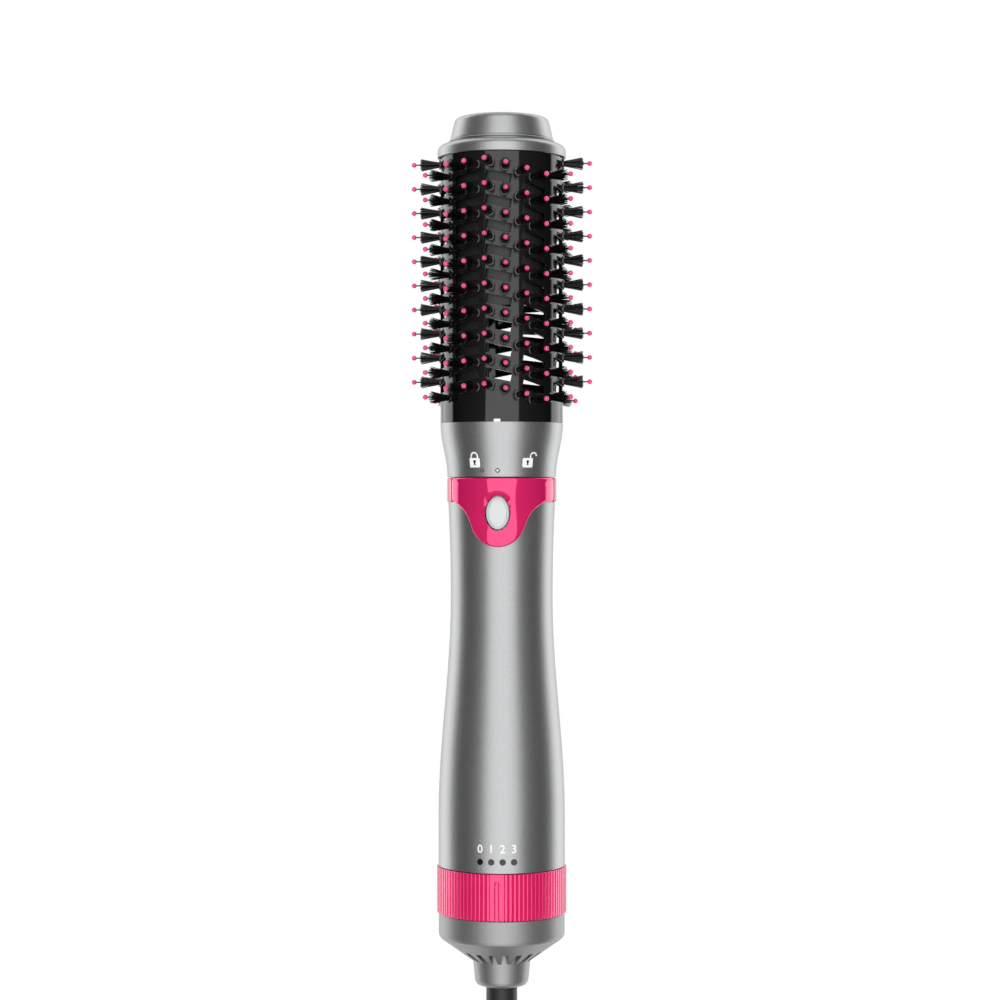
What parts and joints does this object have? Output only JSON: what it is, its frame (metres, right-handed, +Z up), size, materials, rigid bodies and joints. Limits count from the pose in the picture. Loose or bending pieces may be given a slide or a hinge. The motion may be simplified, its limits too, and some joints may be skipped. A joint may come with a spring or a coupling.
{
  "type": "hot air brush",
  "caption": "Corded hot air styling brush: waisted handle with speed ring and release button, and a twist-off round head with air vents, bristle tufts and ball-tipped pins.",
  "frame": {"origin": "on the brush axis at the waist of the handle, where a hand holds it", "axes": "+Z up along the brush axis towards the head, -Y towards the front with the release button, +X to the right seen from the front"},
  "size_m": [0.0784, 0.0778, 0.6854],
  "materials": {
    "silver_paint": "satin metallic grey paint with fine flake on moulded plastic",
    "pink_gloss": "gloss",
    "pink_satin": "semi-gloss moulded ribs",
    "pink_pins": "gloss",
    "black_gloss": "high gloss",
    "black_plastic": "satin",
    "dark_plastic": "matte",
    "bristle_nylon": "satin nylon",
    "pearl_button": "pearl",
    "cream_plastic": "moulded",
    "mica": "flaky mica",
    "heating_wire": "oxidised wire",
    "steel": "plain",
    "pin_metal": "nickel plated",
    "rubber": "matte rubber",
    "cord_pvc": "satin flexible plastic",
    "circuit_board": "solder mask",
    "wire_insulation": "silicone"
  },
  "bodies": {
    "handle": {"handle_shell": "silver_paint", "release_band": "pink_gloss", "outlet_spigot": "black_plastic", "outlet_grille": "black_plastic", "heater_sleeve": "mica", "heater_frame": "mica", "heater_coils": "heating_wire", "thermal_cutout": "steel", "fan_duct": "black_plastic", "motor_can": "steel", "motor_mount": "rubber", "control_board": "circuit_board", "speed_switch": "dark_plastic", "inner_wires": "wire_insulation", "rear_cap": "silver_paint", "intake_filter": "dark_plastic", "cap_screws": "steel", "contact_block": "dark_plastic", "setting_dots": "black_gloss", "button_spring": "steel"},
    "button": {"push_button": "pearl_button", "button_latch": "dark_plastic"},
    "dial": {"speed_ring": "pink_satin", "switch_fork": "dark_plastic"},
    "fan": {"fan_impeller": "cream_plastic", "motor_shaft": "steel"},
    "lock": {"lock_ring": "dark_plastic"},
    "cord": {"swivel_cup": "silver_paint", "bend_sleeve": "rubber", "cord_lead": "cord_pvc", "cord_hank": "cord_pvc", "cord_tail": "cord_pvc", "hank_tie": "dark_plastic", "plug_body": "cord_pvc", "plug_pins": "pin_metal"},
    "head": {"head_barrel": "black_gloss", "head_collar": "silver_paint", "head_cap": "silver_paint", "cap_insulator": "dark_plastic", "cap_screw": "steel", "air_guide": "black_plastic", "ball_pins": "pink_pins", "bristle_column_01": "bristle_nylon", "bristle_column_02": "bristle_nylon", "bristle_column_03": "bristle_nylon", "bristle_column_04": "bristle_nylon", "bristle_column_05": "bristle_nylon", "bristle_column_06": "bristle_nylon", "bristle_column_07": "bristle_nylon", "bristle_column_08": "bristle_nylon", "bristle_column_09": "bristle_nylon", "bristle_column_10": "bristle_nylon", "bristle_column_11": "bristle_nylon", "bristle_column_12": "bristle_nylon", "bristle_column_13": "bristle_nylon", "bristle_column_14": "bristle_nylon", "bristle_column_15": "bristle_nylon", "bristle_column_16": "bristle_nylon", "bristle_column_17": "bristle_nylon", "bristle_column_18": "bristle_nylon"}
  },
  "joints": [
    {"name": "button_push", "type": "slide", "parent": "handle", "child": "button", "axis": [0, 1, 0], "range_m": [0, 0.0018], "stiffness_N_per_m": 400, "springref_m": -0.002, "deforming": ["button_spring"]},
    {"name": "speed_turn", "type": "hinge", "parent": "handle", "child": "dial", "pos_m": [0, 0, -0.1245], "axis": [0, 0, 1], "range_deg": [-15.25, 15.25]},
    {"name": "fan_spin", "type": "hinge", "parent": "handle", "child": "fan", "pos_m": [0, 0, -0.095], "axis": [0, 0, 1], "continuous": true},
    {"name": "head_twist", "type": "hinge", "parent": "handle", "child": "lock", "pos_m": [0, 0, 0.059], "axis": [0, 0, 1], "range_deg": [0, 15]},
    {"name": "head_lift", "type": "slide", "parent": "lock", "child": "head", "axis": [0, 0, 1], "range_m": [0, 0.05]},
    {"name": "cord_swivel", "type": "hinge", "parent": "handle", "child": "cord", "pos_m": [0, 0, -0.1535], "axis": [0, 0, 1], "continuous": true}
  ]
}
